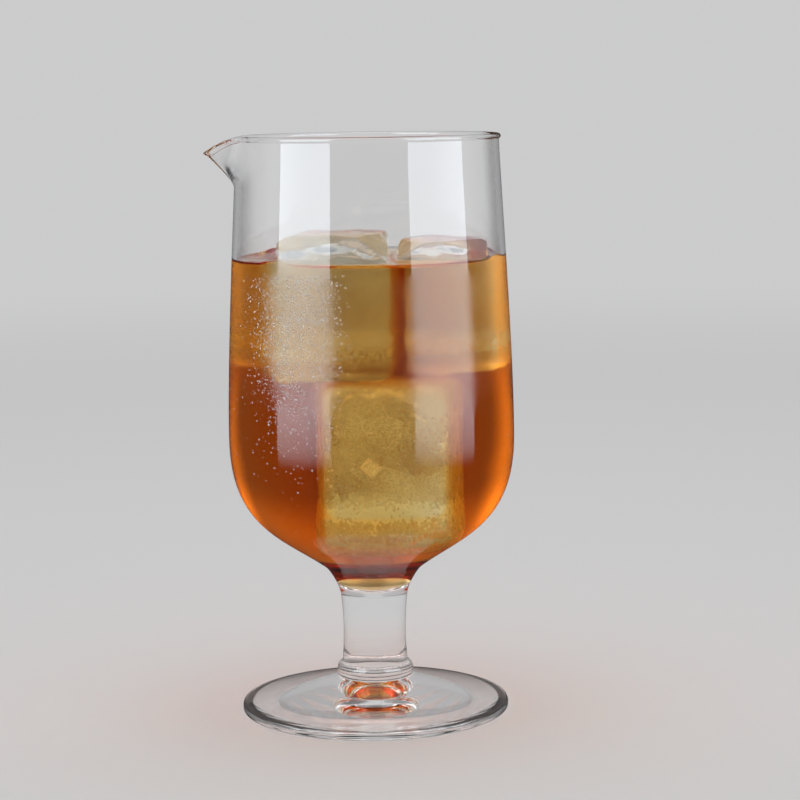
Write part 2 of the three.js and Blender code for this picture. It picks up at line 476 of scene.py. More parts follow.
class DewPattern(Pattern):
    """The fine dew on cold glass: none above a line, grains of water below it, dense in a patch."""

    NAME = "dew"
    TAKES = {"Line": 0.143, "Fade": 0.004, "Patch X": 0.0, "Patch Y": 0.0, "Patch Z": 0.0}
    PATCH_SHAPE: Triple = (1.0, 1.0, 0.5)
    PATCH: Band = (0.007, 0.016, 1.0, 0.0)
    PATCH_SHARE = 0.9
    CLOUDS = Grain(60, (0.3, 0.7, 0.75, 1.0), 3)
    CLEAR_LOW: Band = (0.096, 0.107, 0.28, 1.0)
    RAISED: Band = (0.096, 0.107, 0.08, 0.6)
    BEAD_SCALE = 2600.0
    BEADS: Band = (0.05, 0.6, 1.0, 0.0)

    def draw(self, sheet: Sheet, given: dict) -> dict[str, NodeSocket]:
        """Draws the group.

        Args:
            sheet: Its sheet.
            given: Its inputs.

        Returns:
            How misted a place is, and the height of its grains.
        """
        place = given["Place"]
        centre = sheet.add("CombineXYZ", {axis: given["Patch " + axis] for axis in "XYZ"})
        away = sheet.add("VectorMath", {0: place, 1: centre.outputs[0]}, operation="SUBTRACT")
        feeds = {0: away.outputs[0], 1: self.PATCH_SHAPE}
        shaped = sheet.add("VectorMath", feeds, operation="MULTIPLY")
        reach = sheet.add("VectorMath", {0: shaped.outputs[0]}, operation="LENGTH")
        dense = sheet.ramp(reach.outputs["Value"], self.PATCH)
        dense = sheet.maths("MULTIPLY", dense, self.PATCH_SHARE)
        height = sheet.add("SeparateXYZ", {0: place}).outputs["Z"]
        below = sheet.maths("SUBTRACT", given["Line"], height)
        edge = sheet.maths("DIVIDE", below, given["Fade"], clamp=True)
        clouds = self.CLOUDS.drawn(sheet, place)
        mist = sheet.maths("MULTIPLY", edge, clouds, sheet.ramp(height, self.CLEAR_LOW))
        raised = sheet.maths("ADD", sheet.ramp(height, self.RAISED), dense)
        feeds = {"Vector": place, "Scale": self.BEAD_SCALE}
        cells = sheet.add("TexVoronoi", feeds, feature="SMOOTH_F1")
        beads = sheet.ramp(cells.outputs["Distance"], self.BEADS)
        grain = sheet.maths("MULTIPLY", beads, edge, raised)
        return {"Mist": sheet.maths("ADD", mist, dense), "Grain": grain}


class WavyPattern(Pattern):
    """The faint unevenness of hand-made glass and of melting ice."""

    NAME = "waviness"
    TAKES = {"Waves": 60.0, "Fine": 0.2}
    SLOW_DETAIL = 1.0
    QUICK_SCALE = 700

    def draw(self, sheet: Sheet, given: dict) -> dict[str, NodeSocket]:
        """Draws the group.

        Args:
            sheet: Its sheet.
            given: Its inputs.

        Returns:
            The height.
        """
        slow = sheet.noise(given["Place"], given["Waves"], self.SLOW_DETAIL)
        quick = sheet.noise(given["Place"], self.QUICK_SCALE)
        return {"Height": sheet.maths("ADD", slow, sheet.maths("MULTIPLY", quick, given["Fine"]))}


class RimePattern(Pattern):
    """The white rime, trapped air and gritty specks of a block of ice, with the pale specks low on
    it that are painted glints.
    """

    NAME = "rime"
    TAKES = {"Edge": 0.0, "Haze": 0.15, "Grit": 0.5}
    CLOUDS = Grain(70, (0.35, 0.7, 0.6, 1.0))
    FROST = Grain(1700, (0.35, 0.65, 0.72, 1.12))
    PATCHES = Grain(160, (0.45, 0.62, 0.0, 1.0))
    PATCH_SHARE = 0.25
    FLAKE_SCALE = 110.0
    FLAKES: Band = (0.2, 0.9, 0.6, 1.0)
    GRAIN_SCALE = 900
    GRAIN_DETAIL = 3
    WORN_AND_GLINT_SHARE = 0.3
    SPECKLES: Band = (0.66, 0.8, 0.0, 1.0)

    def draw(self, sheet: Sheet, given: dict) -> dict[str, NodeSocket]:
        """Draws the group.

        Args:
            sheet: Its sheet.
            given: Its inputs.

        Returns:
            How much rime covers a place, and its height.
        """
        place = given["Place"]
        cells = sheet.add("TexVoronoi", {"Vector": place, "Scale": self.FLAKE_SCALE})
        shades = sheet.add("SeparateColor", {0: cells.outputs["Color"]})
        flakes = sheet.ramp(shades.outputs[0], self.FLAKES)
        clouds, frost = (grain.drawn(sheet, place) for grain in (self.CLOUDS, self.FROST))
        haze = sheet.maths("MULTIPLY", clouds, flakes, given["Haze"], frost)
        grains = sheet.noise(place, self.GRAIN_SCALE, self.GRAIN_DETAIL)
        patches = sheet.maths("MULTIPLY", self.PATCHES.drawn(sheet, place), self.PATCH_SHARE)
        # The Edge input carries worn edges and the band of painted glints low on the block.
        worn_and_glint = sheet.maths("ADD", given["Edge"], patches)
        rough = sheet.maths("ADD", grains, sheet.maths("MULTIPLY", worn_and_glint, self.WORN_AND_GLINT_SHARE))
        speckles = sheet.ramp(rough, self.SPECKLES)
        grit_and_glints = sheet.maths("MULTIPLY", speckles, given["Grit"], worn_and_glint, clamp=True)
        return {"Cover": sheet.maths("ADD", haze, grit_and_glints, clamp=True), "Height": grains}


@dataclass(frozen=True)
class Finish:
    """A material, made when a piece first asks for it."""

    name: str

    def material(self) -> Material:
        """Gives the material.

        Returns:
            The material.
        """
        if self.name not in bpy.data.materials:
            made = bpy.data.materials.new(self.name)
            made.use_nodes = True
            sheet = Sheet(made.node_tree)
            self.shade(sheet, made.node_tree.nodes["Principled BSDF"])
        return bpy.data.materials[self.name]

    def shade(self, sheet: Sheet, body: Node) -> None:
        """Makes the shaders. Each finish has its own way."""
        raise NotImplementedError


def dress(piece: Object, *finishes: Finish) -> None:
    """Gives a piece its finishes, in place of any that it has.

    Args:
        piece: The piece.
        finishes: The finishes, in the order that its faces count them.
    """
    piece.data.materials.clear()
    for finish in finishes:
        piece.data.materials.append(finish.material())


@dataclass(frozen=True)
class Clear(Finish):
    """A finish that light passes: glass, drink or ice, as seen across one of its faces."""

    ior: float = GLASS_IOR
    tint: Triple = (1.0, 1.0, 1.0)
    roughness: float = 0.0
    passes: float = 0.94
    dew: float = 0.0
    dew_line: float = 0.143
    dew_patch: Triple = (0.0, 0.0, 0.0)
    dew_relief: float = 0.00002
    waves: float = 0.0
    wave_scale: float = 60.0
    fine: float = 0.2
    absorbs: Triple | None = None
    density: float = 0.0

    def shade(self, sheet: Sheet, body: Node) -> None:
        """Makes the shaders. Lamps shine straight through, a little dimmed.

        Args:
            sheet: The material's nodes.
            body: Its main shader.
        """
        feeds = {"Base Color": (*self.tint, 1), "IOR": self.ior, "Roughness": self.roughness}
        sheet.fill(body, feeds | {"Transmission Weight": 1.0})
        if self.waves:
            self.roughen(sheet, body)
        lamps = sheet.add("BsdfTransparent", {"Color": (self.passes,) * 3 + (1,)})
        shadow = sheet.add("LightPath").outputs["Is Shadow Ray"]
        either = sheet.add("MixShader", {0: shadow, 1: body.outputs[0], 2: lamps.outputs[0]})
        out = sheet.tree.nodes["Material Output"]
        sheet.fill(out, {"Surface": either.outputs[0]})
        if self.absorbs:
            feeds = {"Color": (*self.absorbs, 1), "Density": self.density}
            depth = sheet.add("VolumeAbsorption", feeds)
            sheet.fill(out, {"Volume": depth.outputs[0]})

    def roughen(self, sheet: Sheet, body: Node) -> None:
        """Adds dew and waviness to the surface.

        Args:
            sheet: The material's nodes.
            body: Its main shader.
        """
        place = sheet.add("TexCoord").outputs["Object"]
        feeds = {"Place": place, "Waves": self.wave_scale, "Fine": self.fine}
        uneven = WavyPattern().outputs(sheet, feeds)
        swell = sheet.add("Bump", {"Distance": self.waves, "Height": uneven["Height"]})
        if self.dew:
            patch = {"Patch " + axis: along for axis, along in zip("XYZ", self.dew_patch)}
            dew = DewPattern().outputs(sheet, {"Place": place, "Line": self.dew_line} | patch)
            rough = sheet.maths("MULTIPLY", dew["Mist"], self.dew)
            sheet.fill(body, {"Roughness": sheet.maths("ADD", rough, self.roughness)})
            grain = sheet.add("Bump", {"Distance": self.dew_relief, "Height": dew["Grain"]})
            sheet.fill(swell, {"Normal": grain.outputs[0]})
        sheet.fill(body, {"Normal": swell.outputs[0]})


@dataclass(frozen=True)
class Rime(Finish):
    """The white bloom just inside a block of ice. The mesh says where it is worn, where it carries
    painted glints, and where it is bare.
    """

    haze: float
    grit_and_glints: float
    colour: Triple = (0.66, 0.84, 1.0)
    roughness: float = 0.55
    relief: float = 0.0002

    def shade(self, sheet: Sheet, body: Node) -> None:
        """Makes the shaders.

        Args:
            sheet: The material's nodes.
            body: Its main shader.
        """
        # The edge attribute carries worn edges and the band of painted glints low on the block.
        edge, bare = (
            sheet.add("Attribute", attribute_name=name).outputs["Fac"] for name in ("edge", "bare")
        )
        place = sheet.add("TexCoord").outputs["Object"]
        feeds = {"Place": place, "Edge": edge, "Haze": self.haze, "Grit": self.grit_and_glints}
        rime = RimePattern().outputs(sheet, feeds)
        bump = sheet.add("Bump", {"Distance": self.relief, "Height": rime["Height"]})
        covered = sheet.maths("MULTIPLY", rime["Cover"], sheet.maths("SUBTRACT", 1.0, bare))
        feeds = {"Base Color": (*self.colour, 1), "Roughness": self.roughness}
        sheet.fill(body, feeds | {"Alpha": covered, "Normal": bump.outputs[0]})


@dataclass(frozen=True)
class Silver(Finish):
    """The finish of small drops, which light up as a dense mist of water does."""

    colour: Triple = (0.80, 0.83, 0.88)
    scale: float = 260
    roughness: Band = (0.35, 0.65, 0.06, 0.2)
    cover: Band = (0.35, 0.65, 0.35, 0.6)

    def shade(self, sheet: Sheet, body: Node) -> None:
        """Makes the shaders.

        Args:
            sheet: The material's nodes.
            body: Its main shader.
        """
        spread = sheet.noise(sheet.add("TexCoord").outputs["Object"], self.scale)
        rough, cover = (sheet.ramp(spread, band) for band in (self.roughness, self.cover))
        sheet.fill(body, {"Base Color": (*self.colour, 1), "Roughness": rough, "Alpha": cover})


@dataclass
class Vessel:
    """The bowl with its spout, the stem, the merese and the foot. Sizes are in metres."""

    axis: float
    foot_radius: float = 0.0424
    foot_height: float = 0.0105
    foot_top_radius: float = 0.0116
    foot_edge_height: float = 0.0027
    foot_edge_rounding: float = 0.0010
    rest_ring_width: float = 0.0028
    foot_hollow_height: float = 0.0046
    merese_height: float = 0.0044
    merese_radius: float = 0.0121
    stem_height: float = 0.0220
    stem_foot_radius: float = 0.0104
    stem_waist_radius: float = 0.0099
    stem_top_radius: float = 0.0106
    bowl_height: float = 0.1454
    rim_radius: float = 0.0410
    belly_radius: float = 0.0450
    belly_height: float = 0.0509
    rim_handle_share: float = 0.09
    belly_handle_share: float = 0.333
    belly_drop_share: float = 0.669
    shoulder_radius: float = 0.01565
    shoulder_height: float = 0.0093
    shoulder_slope: float = math.radians(36.6)
    shoulder_handle_share: float = 0.596
    neck_handle_share: float = 0.24
    wall: float = 0.0015
    shoulder_wall: float = 0.0019
    well_floor: float = 0.0019
    well_handle_share: float = 0.67
    well_floor_share: float = 0.78
    lip_thickness: float = 0.0026
    lip_height: float = 0.0019
    spout_reach: float = 0.01003
    spout_dip: float = 0.0049
    spout_height: float = 0.0160
    spout_half_angle: float = math.radians(25)
    spout_root_share: float = 0.2
    spout_crease: float = math.radians(0.9)
    facets: int = 192
    stem_facets: int = 96
    upper_steps: int = 56
    lower_steps: int = 44
    neck_steps: int = 14
    floor_steps: int = 20
    lip_steps: int = 18
    joint_gap: float = 0.00002
    # What a face's normal says at most or at least: floor, inside wall, level joint.
    floor_facing: float = 0.7
    inward_facing: float = -0.05
    level_facing: float = 0.99

    SOLID: ClassVar[Clear] = Clear(
        "solid_glass", waves=0.000008, wave_scale=70, fine=0.05, passes=0.97
    )
    JOINT: ClassVar[Clear] = Clear("fused_joint", ior=1.0, passes=1.0)

    @property
    def stem_base(self) -> float:
        """The height of the joint between the merese and the stem."""
        return self.foot_height + self.merese_height

    @property
    def bowl_base(self) -> float:
        """The height of the joint between the stem and the bowl."""
        return self.stem_base + self.stem_height

    @property
    def rim_top(self) -> float:
        """The height of the rim."""
        return self.bowl_base + self.bowl_height

    @property
    def wall_top(self) -> float:
        """The height at which the wall meets the bead of the lip."""
        return self.rim_top - self.lip_height

    @property
    def uphill(self) -> Vector:
        """The direction up along the shoulder's slope."""
        return Vector((math.cos(self.shoulder_slope), math.sin(self.shoulder_slope)))

    @property
    def outer_wall(self) -> Outline:
        """The wall's outer line from the rim to the shoulder."""
        return [*self.upper_wall(0), *self.lower_wall(0, 0)[1:]]

    def upper_wall(self, inset: float) -> Outline:
        """Gives the wall's line from the rim to the belly.

        Args:
            inset: How far inside the outer surface it runs.

        Returns:
            Its points.
        """
        belly_level = self.bowl_base + self.belly_height
        span = self.wall_top - belly_level
        rim = Vector((self.rim_radius - inset, self.wall_top))
        belly = Vector((self.belly_radius - inset, belly_level))
        rim_handle = rim - Vector((0, span * self.rim_handle_share))
        belly_handle = belly + Vector((0, span * self.belly_handle_share))
        return cubic([rim, rim_handle, belly_handle, belly], self.upper_steps)

    def shoulder(self, inset: float) -> Vector:
        """Gives the point where the round bottom turns into the neck, so far inside the glass."""
        place = Vector((self.shoulder_radius, self.bowl_base + self.shoulder_height))
        return place + Vector((-self.uphill.y, self.uphill.x)) * inset

    def lower_wall(self, inset: float, shoulder_inset: float) -> Outline:
        """Gives the wall's line from the belly down to the shoulder.

        Args:
            inset: How far inside the outer surface it starts.
            shoulder_inset: How far inside it ends.

        Returns:
            Its points.
        """
        belly = Vector((self.belly_radius - inset, self.bowl_base + self.belly_height))
        shoulder = self.shoulder(shoulder_inset)
        belly_handle = belly - Vector((0, (belly.y - shoulder.y) * self.belly_drop_share))
        reach = (self.belly_radius - self.shoulder_radius) * self.shoulder_handle_share
        shoulder_handle = shoulder + self.uphill * reach
        return cubic([belly, belly_handle, shoulder_handle, shoulder], self.lower_steps)

    def neck(self) -> Outline:
        """Gives the neck's outer line from the shoulder to the joint with the stem.

        Returns:
            Its points.
        """
        shoulder = self.shoulder(0)
        joint = Vector((self.stem_top_radius, self.bowl_base))
        reach = self.shoulder_height * self.neck_handle_share
        handles = [shoulder - self.uphill * reach, joint + Vector((0, reach))]
        return cubic([shoulder, *handles, joint], self.neck_steps)

    def inside_floor(self, shoulder_inset: float) -> Outline:
        """Gives the floor's line from the inner shoulder to the middle.

        Args:
            shoulder_inset: How far inside the outer surface it starts.

        Returns:
            Its points.
        """
        shoulder = self.shoulder(shoulder_inset)
        low = self.bowl_base + self.well_floor + shoulder_inset - self.shoulder_wall
        handle = -self.uphill * (shoulder.y - low) * self.well_handle_share
        turn = Vector((shoulder.x * self.well_floor_share, low))
        return cubic([shoulder, shoulder + handle, turn, Vector((0, low))], self.floor_steps)

    def inside(self, film: float) -> Outline:
        """Gives the inside of the bowl from the rim to the middle of the floor.

        Args:
            film: How far inside the glass's own surface it runs.

        Returns:
            Its points, from the top down.
        """
        inset, shoulder_inset = self.wall + film, self.shoulder_wall + film
        return [
            *self.upper_wall(inset),
            *self.lower_wall(inset, shoulder_inset)[1:],
            *self.inside_floor(shoulder_inset)[1:],
        ]

    def lip(self) -> Outline:
        """Gives the bead along the rim.

        Returns:
            Its points, from the outer wall over the top to the inner wall.
        """
        middle = Vector((self.rim_radius - self.wall / 2, self.rim_top - self.lip_height / 2))
        underside = math.asin(self.wall / self.lip_thickness)
        sweep = 2 * (math.pi - underside)
        bead = []
        for step in range(self.lip_steps + 1):
            angle = underside - math.pi / 2 + sweep * step / self.lip_steps
            across = math.cos(angle) * self.lip_thickness / 2
            up = math.sin(angle) * self.lip_height / 2
            bead.append((middle.x + across, middle.y + up))
        return bead

    def spout_pulled(self, radius: float, angle: float, height: float) -> Triple:
        """Pulls the wall out and down into the spout.

        Args:
            radius: The corner's distance from the axis.
            angle: Its angle from the spout.
            height: Its height.

        Returns:
            The three values moved.
        """
        turn = math.hypot(angle, self.spout_crease) - self.spout_crease
        across = max(1 - turn / self.spout_half_angle, 0) ** 2
        climb = max((height - self.rim_top + self.spout_height) / self.spout_height, 0)
        swell = (1 + self.spout_root_share) * climb * climb / (climb + self.spout_root_share)
        dip = self.spout_dip * across**1.5 * climb
        return radius + self.spout_reach * across * swell, angle, height - dip

    def build(self, waterline: "Waterline", dew_patch: Triple) -> None:
        """Makes the four pieces of glass.

        Args:
            waterline: Where the drink stands against the wall.
            dew_patch: The middle of the densest dew.
        """
        blown = {"waves": 0.00002, "fine": 0.03}
        dewy = {"dew": 0.2, "dew_line": waterline.level, "dew_patch": dew_patch}
        self.make_bowl(
            waterline,
            Clear("blown_glass_outside", **blown, **dewy),
            Clear("blown_glass_inside", **blown),
            Clear("glass_against_drink", ior=GLASS_IOR / waterline.drink_ior, passes=0.99),
            self.JOINT,
        )
        self.make_stem()
        self.make_merese()
        self.make_foot()

    def make_bowl(self, waterline: "Waterline", *finishes: Clear) -> None:
        """Makes the bowl with its solid neck, its bead and its spout.

        Args:
            waterline: Where the drink stands against the wall.
            finishes: The outside, the dry inside, the wet inside and the joint.
        """
        outer = [*self.outer_wall, *self.neck()[1:]]
        inner = waterline.with_row(self.inside(0))
        outline = [(0, self.bowl_base), *reversed(outer[1:]), *self.lip(), *inner[1:]]
        piece = spun("bowl_blown", outline, self.axis, self.facets)
        dress(piece, *finishes)
        for face in piece.data.polygons:
            face.material_index = self.bowl_face(face, waterline)
        round_corners(piece, self.axis, gathered)
        waterline.settle(piece, inner)
        round_corners(piece, self.axis, self.spout_pulled)
        shade_smooth(piece, 40)
        keep(piece, Slot.GLASS, ["bowl"])

    def bowl_face(self, face: MeshPolygon, waterline: "Waterline") -> int:
        """Says which of the bowl's finishes a face takes.

        Args:
            face: The face, before the spout is pulled.
            waterline: Where the drink stands against the wall.

        Returns:
            The finish's place in the list.
        """
        middle, normal = face.center, face.normal
        outwards = Vector((middle.x - self.axis, middle.y, 0))
        if middle.z < self.bowl_base + TOUCH:
            return 3
        if middle.z > self.wall_top:
            return 0
        on_floor = normal.z > self.floor_facing and outwards.length < self.shoulder_radius
        if not on_floor and normal.dot(outwards.normalized()) > self.inward_facing:
            return 0
        return 2 if middle.z < waterline.contact else 1

    def make_solid(
        self, node: str, name: str, outline: Outline, facets: int, *joints: float
    ) -> None:
        """Makes a solid piece below the bowl, with its joints in a finish of their own.

        Args:
            node: The CAD node that it stands for.
            name: Its name.
            outline: Its outline.
            facets: How many facets go round.
            joints: The heights of the flat faces at which it is fused.
        """
        piece = spun(name, outline, self.axis, facets)
        dress(piece, self.SOLID, self.JOINT)
        for face in piece.data.polygons:
            flat = abs(face.normal.z) > self.level_facing
            reach = math.hypot(face.center.x - self.axis, face.center.y)
            level = any(abs(face.center.z - height) < TOUCH for height in joints)
            face.material_index = 1 if flat and level and reach < self.merese_radius else 0
        shade_smooth(piece, 50)
        keep(piece, Slot.GLASS, [node])

    def make_stem(self) -> None:
        """Makes the waisted stem."""
        pull = 2 * self.stem_waist_radius - (self.stem_foot_radius + self.stem_top_radius) / 2
        base, top = self.stem_base + self.joint_gap, self.bowl_base - self.joint_gap
        waist = (pull, self.stem_base + self.stem_height / 2)
        side = bend(28, (self.stem_foot_radius, base), waist, (self.stem_top_radius, top))
        outline = [(0, base), *side, (0, top)]
        self.make_solid("stem", "stem_drawn", outline, self.stem_facets, base, top)

    def make_merese(self) -> None:
        """Makes the flattened button between the stem and the foot."""
        base, top = self.foot_height + self.joint_gap, self.stem_base
        widest = self.foot_height + self.merese_height / 3
        wide = self.merese_radius
        lower = bend(8, (self.foot_top_radius, base), (wide, base), (wide, widest))
        upper = bend(14, (wide, widest), (wide, top), (self.stem_foot_radius, top))
        outline = [(0, base), *lower, *upper[1:], (0, top)]
        self.make_solid("merese", "merese_pressed", outline, self.stem_facets, base, top)

    def make_foot(self) -> None:
        """Makes the foot, coned on top and hollowed below."""
        edge, rounding, wide = self.foot_edge_height, self.foot_edge_rounding, self.foot_radius
        rest = wide - rounding
        roof = self.foot_hollow_height
        ring = (rest - self.rest_ring_width, 0)
        hollow = bend(30, (0, roof), (self.foot_top_radius, roof), ring)
        lower = bend(6, (rest, 0), (wide, 0), (wide, rounding))
        upper = bend(6, (wide, edge - rounding), (wide, edge), (rest, edge))
        start, end = upper[-1], (self.foot_top_radius, self.foot_height)
        cone = [
            tuple(start[i] + (end[i] - start[i]) * step / 24 for i in range(2))
            for step in range(1, 25)
        ]
        outline = [*hollow, *lower, *upper, *cone, (0, self.foot_height)]
        self.make_solid("foot", "foot_coned", outline, self.facets, self.foot_height)


@dataclass
class IceBlock:
    """One block of ice, by the box of its CAD node."""

    node: str
    low: Vector
    high: Vector
    corner: float = 0.0045
    corner_steps: int = 5
    rounding: float = 0.0025
    rounding_steps: int = 4
    haze: float = 0.16
    # How strong the pale specks are: on the worn edges, and as painted glints in a band low on the
    # block.
    grit_and_glints: float = 0.9
    worn_edge: float = 0.3
    worn_start_share: float = 0.6
    worn_reach: float = 0.0045
    # Where the band of painted glints lies low on the block, and how it fades in and out.
    glint_band_top: float = 0.0095
    glint_band_fade: float = 0.005
    glint_band_base_share: float = 0.3
    base_top: float = 0.0055
    base_fade: float = 0.003
    bare_base: float = 0.9
    bare_fade: float = 0.001
    voxel: float = 0.0010
    melting: float = 0.0011
    hollow: float = 0.011
    fine_melting: float = 0.00035
    fine_hollow: float = 0.0035
    meltwater: float = 0.0
    meltwater_foot: float = 0.0072
    skin_depth: float = 0.00012
    chips: list[Chip] = field(default_factory=list)

    @property
    def middle(self) -> Vector:
        """The block's middle."""
        return (self.low + self.high) / 2

    def gap(self, x: float, y: float) -> float:
        """Measures how far a place is from the block's upright sides, seen from above.

        Args:
            x: The place along X.
            y: The place along Y.

        Returns:
            The distance, which is negative inside.
        """
        half = (self.high - self.low) / 2
        across = abs(x - self.middle.x) - half.x + self.corner
        along = abs(y - self.middle.y) - half.y + self.corner
        outside = math.hypot(max(across, 0), max(along, 0))
        return outside + min(max(across, along), 0) - self.corner

    def edge_and_glint_share(self, place: Vector) -> float:
        """Says how many pale specks a place gets: some on its worn edges, and painted glints in a
        band low on the block.

        Args:
            place: The place.

        Returns:
            Most in the band of painted glints low on the block, less on its worn edges, and 0 away
            from both.
        """
        sides = [min(place[i] - self.low[i], self.high[i] - place[i]) for i in range(3)]
        edge = 1 - eased(sorted(sides)[1], self.rounding * self.worn_start_share, self.worn_reach)
        above = place.z - self.low.z
        # The band low on the block is painted glints: pale specks where the rough base would catch
        # the light.
        glint_band = 1 - eased(above, self.glint_band_top, self.glint_band_fade)
        base = eased(above, self.base_top, self.base_fade)
        return max(self.worn_edge * edge, glint_band * (self.glint_band_base_share + (1 - self.glint_band_base_share) * base))

    def bare_share(self, place: Vector) -> float:
        """Says how clear of rime a place is: nearly 1 on the block's base, and 0 on its sides."""
        return self.bare_base * (1 - eased(place.z - self.low.z, self.rounding, self.bare_fade))

    def build(self) -> Object:
        """Models the block: a cube with bevelled and chipped edges, melted uneven.

        Returns:
            The piece, with no finish yet.
        """
        size = self.high - self.low
        select_none()
        bpy.ops.mesh.primitive_cube_add(size=1, location=self.middle)
        piece = start_piece(self.node + "_melted")
        with editing():
            bpy.ops.transform.resize(value=size)
            for edges, width, steps in (
                (Edges.UPRIGHT, self.corner, self.corner_steps),
                (Edges.TOP, self.rounding, self.rounding_steps),
                (Edges.BASE, self.rounding, self.rounding_steps),
            ):
                self.select_edges(piece, edges)
                bpy.ops.mesh.bevel(offset=width, segments=steps, affect="EDGES")
            for share, normal in self.chips:
                place = self.middle + Vector(size[i] / 2 * share[i] for i in range(3))
                bpy.ops.mesh.select_all(action="SELECT")
                bpy.ops.mesh.bisect(
                    plane_co=place, plane_no=normal, use_fill=True, clear_outer=True
                )
        fix_place()
        voxels = {"mode": "VOXEL", "voxel_size": self.voxel, "use_smooth_shade": True}
        apply_modifier(piece, "REMESH", **voxels)
        self.melt(piece, "melt_slow", self.hollow, self.melting)
        self.melt(piece, "melt_fine", self.fine_hollow, self.fine_melting)
        return piece

    def select_edges(self, piece: Object, edges: Edges) -> None:
        """Selects the upright edges, or those round the top or the base.

        Args:
            piece: The block, in edit mode.
            edges: Which edges.
        """
        bpy.ops.mesh.select_all(action="DESELECT")
        bpy.ops.object.mode_set(mode="OBJECT")
        mesh = piece.data
        half = 0.5 * (self.high.z - self.low.z) / piece.scale.z
        for edge in mesh.edges:
            first, second = (mesh.vertices[i].co.z for i in edge.vertices)
            if edges is Edges.UPRIGHT:
                edge.select = abs(first - second) > half
            else:
                level = half * edges.value
                edge.select = abs(first - level) < HAIR and abs(second - level) < HAIR
        bpy.ops.object.mode_set(mode="EDIT")
        bpy.ops.mesh.select_mode(type="EDGE")

    def melt(self, piece: Object, name: str, size: float, depth: float) -> None:
        """Melts the surface inwards unevenly.

        Args:
            piece: The block.
            name: The pattern's name.
            size: How wide its hollows are.
            depth: How deep they are.
        """
        if name not in bpy.data.textures:
            pattern = bpy.data.textures.new(name, "CLOUDS")
            pattern.noise_scale = size
            pattern.noise_depth = 2
        settings = {"texture": bpy.data.textures[name], "texture_coords": "LOCAL"}
        apply_modifier(piece, "DISPLACE", mid_level=1.0, strength=depth, **settings)

    def finish(self, piece: Object, waterline: "Waterline") -> None:
        """Gives the block its finishes, wet below the waterline and dry above it.

        Args:
            piece: The block.
            waterline: Where the drink stands.
        """
        border = waterline.level + waterline.ice_rise
        if self.high.z > border:
            alone(piece)
            with editing():
                bpy.ops.mesh.bisect(plane_co=(0, 0, border), plane_no=(0, 0, 1))
        melted = {"waves": 0.0002, "wave_scale": 160, "fine": 0.35}
        dry = Clear("ice_dry", ior=1.31, roughness=0.06, **melted)
        wet = Clear("ice_wet", ior=1.03, tint=(0.86, 0.86, 0.84), passes=0.99, **melted)
        dress(piece, dry, wet)
        for face in piece.data.polygons:
            face.material_index = 0 if face.center.z > border else 1
            face.use_smooth = True
        keep(piece, Slot.ICE, [self.node])

    def bloom(self, piece: Object) -> None:
        """Makes the skin of rime just inside the block's surface.

        Args:
            piece: The block.
        """
        skin = copied(piece, self.node + "_rime")
        grown(skin, -self.skin_depth)
        # The edge attribute holds both worn edges and the band of painted glints low on the block.
        for name, share in (("edge", self.edge_and_glint_share), ("bare", self.bare_share)):
            values = skin.data.attributes.new(name, "FLOAT", "POINT").data
            for corner in skin.data.vertices:
                values[corner.index].value = share(corner.co)
        dress(skin, Rime(self.node + "_rime", self.haze, self.grit_and_glints))
        keep(skin, Slot.ICE)


@dataclass
class IceMark:
    """A crack, trapped air or a pale sheet that is a painted glint, inside a block of ice, by its
    place on the block's front.
    """

    across: float
    height: float
    depth: float
    size: Triple
    tilt: float
    ring: bool = False
    ring_thickness: float = 0.06
    bevel: float = 0.14
    brokenness: float = 0.6
    lean: float = 0.12
    turn: float = 0.2

    def build(self, block: IceBlock) -> Object:
        """Models the flaw.

        Args:
            block: The block that it lies in.

        Returns:
            The flaw.
        """
        select_none()
        if self.ring:
            bpy.ops.mesh.primitive_torus_add(
                major_radius=1,
                minor_radius=self.ring_thickness,
                major_segments=40,
                minor_segments=8,
            )
            bpy.context.object.rotation_euler.x = math.radians(90)
            fix_place()
        else:
            bpy.ops.mesh.primitive_cube_add(size=2)
            with editing():
                bpy.ops.mesh.bevel(offset=self.bevel, segments=2, affect="EDGES")
                seed = int(abs(self.tilt))
                bpy.ops.mesh.subdivide(number_cuts=1, fractal=self.brokenness, seed=seed)
        piece = start_piece("flaw")
        piece.scale = self.size
        piece.rotation_euler = (self.lean, math.radians(self.tilt), self.turn)
        low = block.low
        piece.location = (block.middle.x + self.across, low.y + self.depth, low.z + self.height)
        fix_place()
        return piece


